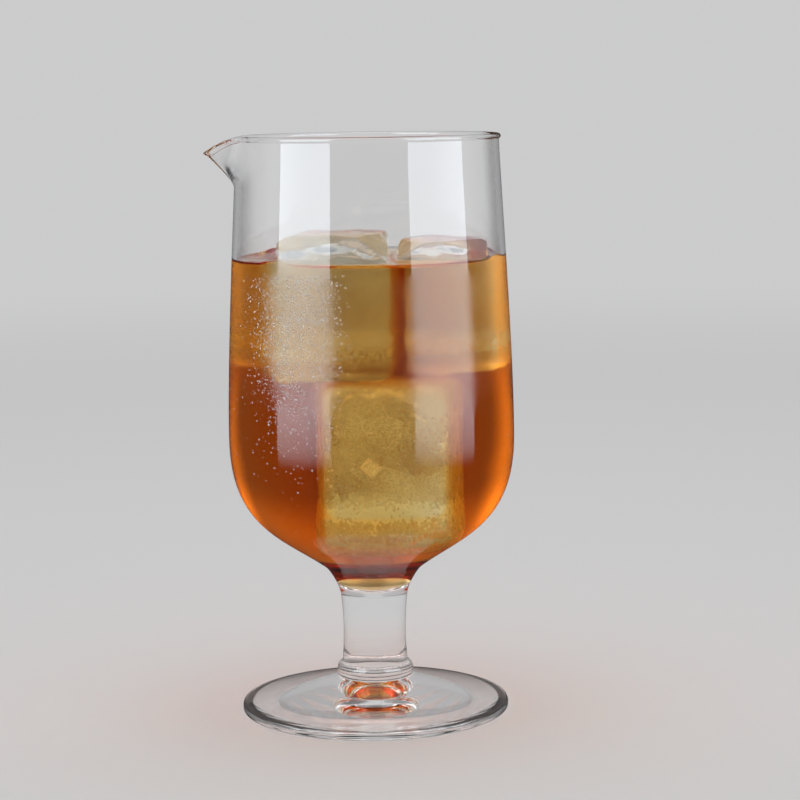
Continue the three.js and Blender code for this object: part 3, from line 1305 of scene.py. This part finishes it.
@dataclass
class Waterline:
    """The drink's surface, with the edges that climb the glass and the ice."""

    vessel: Vessel
    level: float
    blocks: list[IceBlock]
    drink_ior: float = 1.345
    wall_rise: float = 0.0015
    wall_reach: float = 0.0018
    ice_rise: float = 0.0011
    ice_reach: float = 0.0016
    narrow_rise: float = 0.0028
    settle_span: float = 0.008
    wall_touch: float = 0.00005

    @property
    def contact(self) -> float:
        """The height at which the drink meets the glass away from the ice."""
        return self.level + self.wall_rise

    def surface(self, x: float, y: float, wall_gap: float) -> float:
        """Gives the height of the drink's surface.

        Args:
            x: The place along X.
            y: The place along Y.
            wall_gap: How far it is from the glass.

        Returns:
            The height.
        """
        near_wall = math.exp(-max(wall_gap, 0) / self.wall_reach)
        gap = min(block.gap(x, y) for block in self.blocks)
        near_ice = math.exp(-max(gap, 0) / self.ice_reach)
        rise = self.wall_rise * near_wall + self.ice_rise * near_ice * (1 - near_wall)
        return self.level + rise + self.narrow_rise * near_wall * near_ice

    def with_row(self, outline: Outline) -> Outline:
        """Adds a corner to the inside's outline where the drink meets the glass.

        Args:
            outline: The points, from the top down.

        Returns:
            The points with the new one.
        """
        row = (radius_at(outline, self.contact), self.contact)
        above = [point for point in outline if point[1] > self.contact + ROW_REACH]
        below = [point for point in outline if point[1] < self.contact - ROW_REACH]
        return [*above, row, *below]

    def glint_band(self, outline: Outline, radius: float, angle: float, height: float) -> Triple:
        """Moves one corner along the glass, less the further it is from the waterline.

        Args:
            outline: The inside's outline.
            radius: The corner's distance from the axis.
            angle: Its angle from the spout.
            height: Its height.

        Returns:
            The three values moved.
        """
        distance = abs(height - self.contact)
        on_wall = abs(radius - radius_at(outline, height)) < self.wall_touch
        if distance > self.settle_span or not on_wall:
            return radius, angle, height
        x = self.vessel.axis - radius * math.cos(angle)
        wanted = self.surface(x, radius * math.sin(angle), 0) - self.contact
        raised = height + wanted * (1 - eased(distance, 0, self.settle_span))
        return radius_at(outline, raised), angle, raised

    def settle(self, piece: Object, outline: Outline) -> None:
        """Moves a piece's rows of corners near the waterline until they follow it."""
        round_corners(piece, self.vessel.axis, partial(self.glint_band, outline))


@dataclass
class Drink:
    """The amber drink that fills the bowl round the ice, and the thin film that is its surface."""

    vessel: Vessel
    waterline: Waterline
    ice: list[tuple[IceBlock, Object]]
    film: float = 0.00003
    absorbs: Triple = (0.948, 0.73, 0.2)
    density: float = 120.0
    rings_across: int = 58
    pocket_margin: float = 0.00004
    upward_facing: float = 0.2

    def build(self) -> None:
        """Makes the drink and its surface."""
        self.pour()
        self.skim()

    def pour(self) -> None:
        """Makes the drink: the inside of the bowl, less a pocket for each block of ice."""
        drink = {"absorbs": self.absorbs, "density": self.density}
        liquid = Clear("amber_liquid", ior=1.0, passes=1.0, **drink)
        inside = self.waterline.with_row(self.vessel.inside(self.film))
        below = [point for point in inside if point[1] <= self.waterline.contact + HAIR]
        edge = below[0][0]
        outline = [*reversed(below), *self.rings(edge, self.waterline.contact)]
        piece = spun("drink_poured", outline, self.vessel.axis, self.vessel.facets)
        dress(piece, liquid)
        round_corners(piece, self.vessel.axis, gathered)
        self.lay_surface(piece, edge, 0)
        self.waterline.settle(piece, inside)
        self.cut_pockets(piece, self.pocket_margin)
        shade_smooth(piece, 50)
        keep(piece, Slot.DRINK, ["drink"])

    def skim(self) -> None:
        """Makes the surface, which bends and mirrors light."""
        edge = radius_at(self.vessel.inside(self.film), self.waterline.contact)
        contact = self.waterline.contact
        outline = [*reversed(self.rings(edge, contact)), *self.rings(edge, contact + self.film)]
        piece = spun("drink_surface", outline, self.vessel.axis, self.vessel.facets)
        top = Clear("drink_surface", ior=self.waterline.drink_ior, passes=0.97)
        dress(piece, top, Clear("drink_film_underside", ior=1.0, passes=1.0))
        round_corners(piece, self.vessel.axis, gathered)
        self.lay_surface(piece, edge, self.film)
        self.cut_pockets(piece, 2 * self.pocket_margin)
        for face in piece.data.polygons:
            face.material_index = 0 if face.normal.z > self.upward_facing else 1
        shade_smooth(piece, 60)
        keep(piece, Slot.DRINK)

    def rings(self, edge: float, height: float) -> Outline:
        """Gives the rings of corners across a level top, from its rim to the axis."""
        count = self.rings_across
        return [(edge * (1 - step / count), height) for step in range(count + 1)]

    def cut_pockets(self, piece: Object, margin: float) -> None:
        """Cuts the ice out of a piece, and the clear meltwater ahead of a block.

        Args:
            piece: The piece.
            margin: How much larger than the ice the pockets are.
        """
        for block, block_piece in self.ice:
            top = block.high.z
            melted = 1 - block.meltwater_foot / (top - block.low.z)
            for ahead, kept in ((0.0, 1.0), (block.meltwater, melted)):
                if kept < 1 and not ahead:
                    continue
                tool = copied(block_piece, block.node + "_pocket")
                grown(tool, margin)
                for corner in tool.data.vertices:
                    corner.co.y -= ahead
                    corner.co.z = top - (top - corner.co.z) * kept
                settings = {"operation": "DIFFERENCE", "solver": "MANIFOLD"}
                apply_modifier(piece, "BOOLEAN", object=tool, **settings)
                bpy.data.objects.remove(tool)

    def lay_surface(self, piece: Object, edge: float, lift: float) -> None:
        """Lays a level top down to the drink's surface, with its climbing edges.

        Args:
            piece: The spun piece.
            edge: Its radius at the top.
            lift: How far above the drink the lowest corners lie.
        """
        contact = self.waterline.contact
        for corner in piece.data.vertices:
            reach = math.hypot(corner.co.x - self.vessel.axis, corner.co.y)
            if corner.co.z > contact - HAIR and (lift or reach < edge - TOUCH):
                above = corner.co.z - contact + lift
                laid = self.waterline.surface(corner.co.x, corner.co.y, edge - reach)
                corner.co.z = laid + above


@dataclass
class Dew:
    """The drops that have gathered on the outside of the cold glass."""

    vessel: Vessel
    top: float
    seed: int = 11
    patch_turn: float = math.radians(59)
    patch_height: float = 0.127
    patch_width: float = 0.0085
    patch_rise: float = 0.0165
    gathered_drops: int = 3200
    loose_drops: int = 260
    loose_base: float = 0.062
    loose_size: float = 0.6
    base: float = 0.05
    least: float = 0.00012
    most: float = 0.00032
    least_apart: float = 1.5
    loose_margin: float = 0.1
    widths: OutlinePoint = (0.8, 1.2)
    depths: OutlinePoint = (0.5, 0.8)
    drop_cut: float = 0.01
    clearance: float = 0.00001
    slope_step: float = 0.001

    @property
    def patch_middle(self) -> Triple:
        """The middle of the gathered drops, on the glass."""
        reach = (self.vessel.rim_radius + self.vessel.belly_radius) / 2
        return self.on_wall(reach, self.patch_turn, self.patch_height)

    def on_wall(self, reach: float, turn: float, height: float) -> Triple:
        """Gives the place at a distance from the axis, a turn from the spout and a height."""
        return (self.vessel.axis - reach * math.cos(turn), -reach * math.sin(turn), height)

    def build(self) -> None:
        """Makes all the drops as one piece."""
        chance = random.Random(self.seed)
        shape = self.one_drop()
        wall = self.vessel.outer_wall
        drops = []
        for turn, height, size in self.places(chance):
            drop = bpy.data.objects.new("drop", shape.data)
            bpy.context.scene.collection.objects.link(drop)
            lean = Vector((-math.cos(turn), -math.sin(turn), self.lean(wall, height)))
            drop.location = self.on_wall(radius_at(wall, height) + self.clearance, turn, height)
            drop.rotation_euler = lean.normalized().to_track_quat("Z", "Y").to_euler()
            width, depth = (size * chance.uniform(*span) for span in (self.widths, self.depths))
            drop.scale = (width, size, depth)
            drops.append(drop)
        bpy.data.objects.remove(shape)
        piece = joined(drops, "dew_drops")
        dress(piece, Silver("dew_water"))
        shade_smooth(piece, 50)
        keep(piece, Slot.DRINK)

    def one_drop(self) -> Object:
        """Models one drop: the upper part of a ball, closed below, 1 m in radius.

        Returns:
            The drop.
        """
        select_none()
        bpy.ops.mesh.primitive_ico_sphere_add(subdivisions=2, radius=1, location=(0, 0, 0))
        piece = start_piece("drop_shape")
        cut = {"plane_co": (0, 0, self.drop_cut), "plane_no": (0, 0, 1)}
        with editing():
            bpy.ops.mesh.bisect(use_fill=True, clear_inner=True, **cut)
        return piece

    def lean(self, wall: Outline, height: float) -> float:
        """Says how far the wall's outward direction rises for a run of 1."""
        step = self.slope_step
        return (radius_at(wall, height - step) - radius_at(wall, height + step)) / (2 * step)

    def places(self, chance: random.Random) -> Iterator[Triple]:
        """Scatters the drops.

        Args:
            chance: Where the chances come from.

        Yields:
            The angle from the spout, the height and the radius of each.
        """
        radius = self.vessel.belly_radius
        taken: list[Vector] = []
        for number in range(self.gathered_drops + self.loose_drops):
            close = number < self.gathered_drops
            if close:
                turn = chance.gauss(self.patch_turn, self.patch_width / radius)
                height = chance.gauss(self.patch_height, self.patch_rise)
            else:
                turn = chance.uniform(self.loose_margin, math.pi - self.loose_margin)
                height = chance.uniform(self.loose_base, self.top)
            size = self.least + (self.most - self.least) * chance.random() ** 2
            place = Vector((turn * radius, height))
            free = all((place - other).length > size * self.least_apart for other in taken)
            inside = abs(radius * math.sin(turn)) < radius - 2 * size
            if free and inside and self.base < height < self.top - size:
                taken.append(place)
                yield turn, height, size * (1.0 if close else self.loose_size)


def turned(low: float, high: float, start: float, end: float) -> Band:
    """Gives a band whose range is in degrees."""
    return math.radians(low), math.radians(high), start, end


class StudioCards(Pattern):
    """How bright a direction from the glass is, for what the glass shows of the studio.

    Mirrored is 1 for rays off a surface, Crossed counts the faces that a ray has passed, and
    Near is 1 close to the glass.
    """

    NAME = "studio_cards"
    TAKES = {"Near": 0.0, "Mirrored": 0.0, "Crossed": 0.0}
    MIRRORED_STRENGTH = 0.06
    WALLS: Band = (1.5, 3.5, 0.2, 1.0)
    DRINK_FACES = 4.5
    DARK_STARTS = turned(6, 15, 0.0, 1.0)
    DARK_ENDS = turned(62, 76, 1.0, 0.0)
    DARK_DEPTH: Band = (-0.1, 0.1, -0.5, -0.7)
    MIDDLE = turned(5, 14, 0.36, 0.58)
    SHIFT: Band = (-0.1, 0.1, math.radians(7), math.radians(-1))
    BESIDE = turned(36, 56, 0.0, 1.95)
    FRONT = turned(95, 125, 0.0, -2.5)
    ABOVE: Band = (0.05, 0.35, 1.0, 2.2)
    OVERHEAD: Band = (0.6, 0.9, 1.0, 0.35)

    def draw(self, sheet: Sheet, given: dict) -> dict[str, NodeSocket]:
        """Draws the group.

        Args:
            sheet: Its sheet.
            given: Its inputs.

        Returns:
            The strength.
        """
        apart = sheet.add("SeparateXYZ", {0: given["Place"]}).outputs
        turn = sheet.maths("ARCTAN2", apart["X"], apart["Y"])
        away = sheet.maths("ABSOLUTE", turn)
        far = sheet.maths("SUBTRACT", 1.0, given["Near"])
        walls = sheet.ramp(given["Crossed"], self.WALLS)
        cards = sheet.maths("MULTIPLY", self.behind_empty_glass(sheet, turn, away), far, walls)
        full = self.behind_drink(sheet, turn, away, apart["Z"])
        in_drink = sheet.maths("GREATER_THAN", given["Crossed"], self.DRINK_FACES)
        strength = sheet.mixed(in_drink, sheet.maths("ADD", cards, 1.0), full)
        return {"Strength": sheet.mixed(given["Mirrored"], strength, self.MIRRORED_STRENGTH)}

    def behind_empty_glass(self, sheet: Sheet, turn: NodeSocket, away: NodeSocket) -> NodeSocket:
        """Gives what the dark cards add, which draw the edges of the empty part of the bowl."""
        starts, ends = (sheet.ramp(away, band) for band in (self.DARK_STARTS, self.DARK_ENDS))
        return sheet.maths("MULTIPLY", starts, ends, sheet.ramp(turn, self.DARK_DEPTH))

    def behind_drink(
        self, sheet: Sheet, turn: NodeSocket, away: NodeSocket, height: NodeSocket
    ) -> NodeSocket:
        """Gives the cards behind the full part: dim in the middle, bright beside and above.

        Args:
            sheet: The nodes.
            turn: The direction's angle from the backdrop's middle.
            away: The same without its sign.
            height: How far up the direction points.

        Returns:
            The strength.
        """
        shifted = sheet.maths("ADD", away, sheet.ramp(turn, self.SHIFT))
        beside = sheet.ramp(shifted, self.BESIDE)
        middle, front = (sheet.ramp(away, band) for band in (self.MIDDLE, self.FRONT))
        level = sheet.maths("ADD", middle, beside, front)
        above, overhead = (sheet.ramp(height, band) for band in (self.ABOVE, self.OVERHEAD))
        return sheet.maths("MULTIPLY", level, above, overhead)


@dataclass
class Studio:
    """The pale floor and backdrop, the soft lights and the camera."""

    axis: float
    tone: Triple = (0.60, 0.60, 0.606)
    floor_colour: Triple = (0.68, 0.68, 0.685)
    floor_radius: float = 9
    floor_roughness: float = 0.9
    floor_fade: Band = (0.35, 1.6, 0.0, 1.0)
    floor_near: Band = (0.85, 1.15, 1.0, 0.0)
    floor_shown: Band = (0.12, 0.4, 0.0, 1.0)
    warm: Triple = (1.0, 0.99, 0.97)
    cool: Triple = (0.86, 0.93, 1.0)
    overhead_place: Triple = (0, 0.1, 1.3)
    overhead_size: float = 1.2
    overhead_energy: float = 6.0
    box_distance: float = 0.30
    box_height: float = 0.60
    box_energy: float = 3.1
    box_foot: Band = (0.0, 0.1, 0.0, 1.0)
    lens: float = 106.6
    sensor: float = 36.0
    eye: Triple = (0.0091, -0.741, 0.1983)
    pitch_down: float = 7.65
    roll: float = -0.8

    # Each soft box's name, its turn from the camera in degrees, and its width.
    BOXES: ClassVar[tuple] = (("left_box", -52, 0.25), ("right_box", 59, 0.29))

    def build(self) -> None:
        """Makes all of it, and lets light find its way through the many clear faces."""
        self.make_world()
        self.make_floor()
        self.make_lights()
        self.make_camera()
        scene = bpy.context.scene
        scene.view_settings.view_transform = "Standard"
        scene.cycles.max_bounces = 48
        scene.cycles.transmission_bounces = 40
        scene.cycles.glossy_bounces = 40
        scene.cycles.transparent_max_bounces = 48

    def strength(self, sheet: Sheet, place: NodeSocket, near: object) -> NodeSocket:
        """Gives the backdrop's strength: 1, but what the cards say for rays by way of glass.

        Args:
            sheet: The nodes of a material or the world.
            place: The place or direction that is looked at.
            near: How close to the glass it is.

        Returns:
            The strength.
        """
        crossed = sheet.add("LightPath").outputs["Transmission Depth"]
        feeds = {"Place": place, "Near": near, "Crossed": crossed}
        cards = StudioCards().outputs(sheet, feeds | {"Mirrored": sheet.rays(Ray.MIRRORED)})
        return sheet.mixed(sheet.rays(Ray.GLASS), 1.0, cards["Strength"])

    def make_world(self) -> None:
        """Makes the backdrop and the light that comes from all round."""
        world = bpy.data.worlds.new("studio")
        world.use_nodes = True
        bpy.context.scene.world = world
        sheet = Sheet(world.node_tree)
        strength = self.strength(sheet, sheet.add("TexCoord").outputs["Generated"], 0.0)
        feeds = {"Color": (*self.tone, 1), "Strength": strength}
        sheet.fill(world.node_tree.nodes["Background"], feeds)

    def make_floor(self) -> None:
        """Makes the floor, which runs out into the backdrop's tone."""
        select_none()
        disc = {"vertices": 96, "radius": self.floor_radius, "fill_type": "NGON"}
        bpy.ops.mesh.primitive_circle_add(location=(self.axis, 0, 0), **disc)
        floor = start_piece("floor")
        fix_place()
        made = bpy.data.materials.new("pale_floor")
        made.use_nodes = True
        sheet = Sheet(made.node_tree)
        body = made.node_tree.nodes["Principled BSDF"]
        feeds = {"Base Color": (*self.floor_colour, 1), "Roughness": self.floor_roughness}
        sheet.fill(body, feeds | {"Specular IOR Level": 0.0})
        place = sheet.add("TexCoord").outputs["Object"]
        length = sheet.add("VectorMath", {0: place}, operation="LENGTH").outputs["Value"]
        bands = (self.floor_fade, self.floor_near, self.floor_shown)
        far, near, shown = (sheet.ramp(length, band) for band in bands)
        feeds = {"Color": (*self.tone, 1), "Strength": self.strength(sheet, place, near)}
        shine = sheet.add("Emission", feeds)
        through = sheet.maths("MULTIPLY", sheet.rays(Ray.GLASS), shown)
        share = sheet.maths("MAXIMUM", far, through, sheet.rays(Ray.MIRRORED))
        both = sheet.add("MixShader", {0: share, 1: body.outputs[0], 2: shine.outputs[0]})
        sheet.fill(made.node_tree.nodes["Material Output"], {"Surface": both.outputs[0]})
        floor.data.materials.append(made)

    def add_light(self, name: str, place: Vector, target: Vector, size: OutlinePoint) -> Object:
        """Adds one soft rectangular light, which glass shows only as a reflection.

        Args:
            name: Its name.
            place: Where it stands.
            target: What it faces.
            size: Its width and height.

        Returns:
            The light.
        """
        lamp = bpy.data.lights.new(name, "AREA")
        lamp.shape = "RECTANGLE"
        lamp.size, lamp.size_y = size
        light = bpy.data.objects.new(name, lamp)
        light.location = place
        light.rotation_euler = (target - place).to_track_quat("-Z", "Y").to_euler()
        light.visible_camera = False
        light.visible_transmission = False
        bpy.context.scene.collection.objects.link(light)
        return light

    def make_lights(self) -> None:
        """Makes the overhead light and the two tall soft boxes."""
        size = (self.overhead_size, self.overhead_size)
        top = self.add_light("overhead", Vector(self.overhead_place), Vector((0, 0, 0)), size)
        top.data.energy = self.overhead_energy
        top.data.color = self.warm
        middle = self.box_height / 2
        for name, turn, width in self.BOXES:
            angle = math.radians(turn)
            across = self.box_distance * math.sin(angle)
            along = -self.box_distance * math.cos(angle)
            place = Vector((self.axis + across, along, middle))
            target = Vector((self.axis, 0, middle))
            box = self.add_light(name, place, target, (width, self.box_height))
            box.data.energy = self.box_energy
            box.data.color = self.cool
            box.visible_diffuse = False
            self.soften_foot(box.data)

    def soften_foot(self, lamp: Light) -> None:
        """Lets a soft box fade out towards the floor.

        Args:
            lamp: The box's light.
        """
        lamp.use_nodes = True
        sheet = Sheet(lamp.node_tree)
        place = sheet.add("NewGeometry").outputs["Position"]
        height = sheet.add("SeparateXYZ", {0: place}).outputs["Z"]
        shine = lamp.node_tree.nodes["Emission"]
        sheet.fill(shine, {"Strength": sheet.ramp(height, self.box_foot)})

    def make_camera(self) -> None:
        """Stands the camera at the photograph's viewing angle."""
        lens = bpy.data.cameras.new("camera")
        lens.lens = self.lens
        lens.sensor_width = self.sensor
        camera = bpy.data.objects.new("camera", lens)
        camera.location = (self.axis + self.eye[0], self.eye[1], self.eye[2])
        camera.rotation_mode = "QUATERNION"
        pitch = Quaternion((1, 0, 0), math.radians(90 - self.pitch_down))
        camera.rotation_quaternion = pitch @ Quaternion((0, 0, 1), math.radians(self.roll))
        bpy.context.scene.collection.objects.link(camera)
        bpy.context.scene.camera = camera


@dataclass
class MixingGlass:
    """The whole object."""

    # Each chip: a place in shares of the block's half size, and the direction that it faces.
    UPPER: ClassVar[dict[str, list[Chip]]] = {
        "ice_block_left": [
            ((0.75, -0.8, 0.86), (0.55, -0.35, 0.75)),
            ((-0.1, -0.93, 0.93), (-0.15, -0.6, 0.8)),
            ((-0.85, 0.0, 0.92), (-0.5, 0.1, 0.85)),
            ((0.96, -0.2, 0.9), (0.75, -0.1, 0.65)),
        ],
        "ice_block_right": [
            ((-0.7, -0.8, 0.9), (-0.5, -0.3, 0.8)),
            ((0.5, -0.9, 0.93), (0.2, -0.5, 0.85)),
            ((-0.95, 0.1, 0.88), (-0.75, 0.1, 0.65)),
        ],
        "ice_block_back": [
            ((0.3, -0.3, 0.95), (0.25, -0.1, 0.95)),
            ((-0.8, 0.0, 0.9), (-0.45, 0.0, 0.9)),
        ],
    }
    # The ring is a crack and the diamond a pale flaw in the ice; the four flat slivers 36.5 to 44
    # mm up are pale sheets where the top of the block sparkles, painted glints.
    FLAWS_AND_GLINTS: ClassVar[tuple[IceMark, ...]] = (
        IceMark(-0.0110, 0.0375, 0.0015, (0.0017, 0.0010, 0.0064), 12, ring=True),
        IceMark(-0.0043, 0.0221, 0.0014, (0.0023, 0.0003, 0.0019), 40),
        IceMark(0.0010, 0.0440, 0.0060, (0.0035, 0.0008, 0.0006), 14),
        IceMark(-0.0040, 0.0430, 0.0050, (0.0013, 0.0007, 0.0005), -8),
        IceMark(0.0055, 0.0415, 0.0060, (0.0032, 0.0006, 0.0003), 28),
        IceMark(0.0085, 0.0365, 0.0050, (0.0024, 0.0004, 0.00025), 35),
        IceMark(0.0160, 0.0290, 0.0040, (0.00025, 0.0006, 0.0030), 12),
    )
    # Pale rime for the cracks and trapped air, and for the sheets that are painted glints.
    AIR_AND_GLINTS: ClassVar[Rime] = Rime("trapped_air_and_glints", haze=0.8, grit_and_glints=0.6, colour=(0.9, 0.95, 1.0))

    def mark_ice(self, block: IceBlock) -> None:
        """Makes the cracks, trapped air and painted glints of a block as one piece.

        Args:
            block: The block.
        """
        piece = joined([flaw.build(block) for flaw in self.FLAWS_AND_GLINTS], block.node + "_flaws")
        dress(piece, self.AIR_AND_GLINTS)
        shade_smooth(piece, 60)
        keep(piece, Slot.ICE)

    def build(self) -> None:
        """Builds the glass, the ice and the drink in order."""
        foot_low, foot_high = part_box("foot")
        vessel = Vessel(axis=(foot_low.x + foot_high.x) / 2)
        # The grit value sets the pale specks: on worn edges, and painted glints low on each block.
        rimed = {"haze": 0.6, "grit_and_glints": 1.0, "meltwater": 0.007}
        lower = IceBlock("ice_block_lower", *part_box("ice_block_lower"), **rimed)
        cleared = {"haze": 0.12, "grit_and_glints": 0.25, "melting": 0.0017}
        uppers = [
            IceBlock(node, *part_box(node), chips=chips, **cleared)
            for node, chips in self.UPPER.items()
        ]
        waterline = Waterline(vessel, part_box("drink")[1].z, uppers)
        dew = Dew(vessel, waterline.level - 0.001)
        vessel.build(waterline, dew.patch_middle)
        blocks = [(block, block.build()) for block in (lower, *uppers)]
        Drink(vessel, waterline, blocks).build()
        for block, piece in blocks:
            block.bloom(piece)
            block.finish(piece, waterline)
        self.mark_ice(lower)
        dew.build()
        Studio(vessel.axis).build()


def main() -> None:
    """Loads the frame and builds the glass."""
    logging.basicConfig(level=logging.INFO, format="%(name)s: %(message)s")
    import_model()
    MixingGlass().build()
    bpy.context.view_layer.update()


if __name__ == "__main__":
    main()
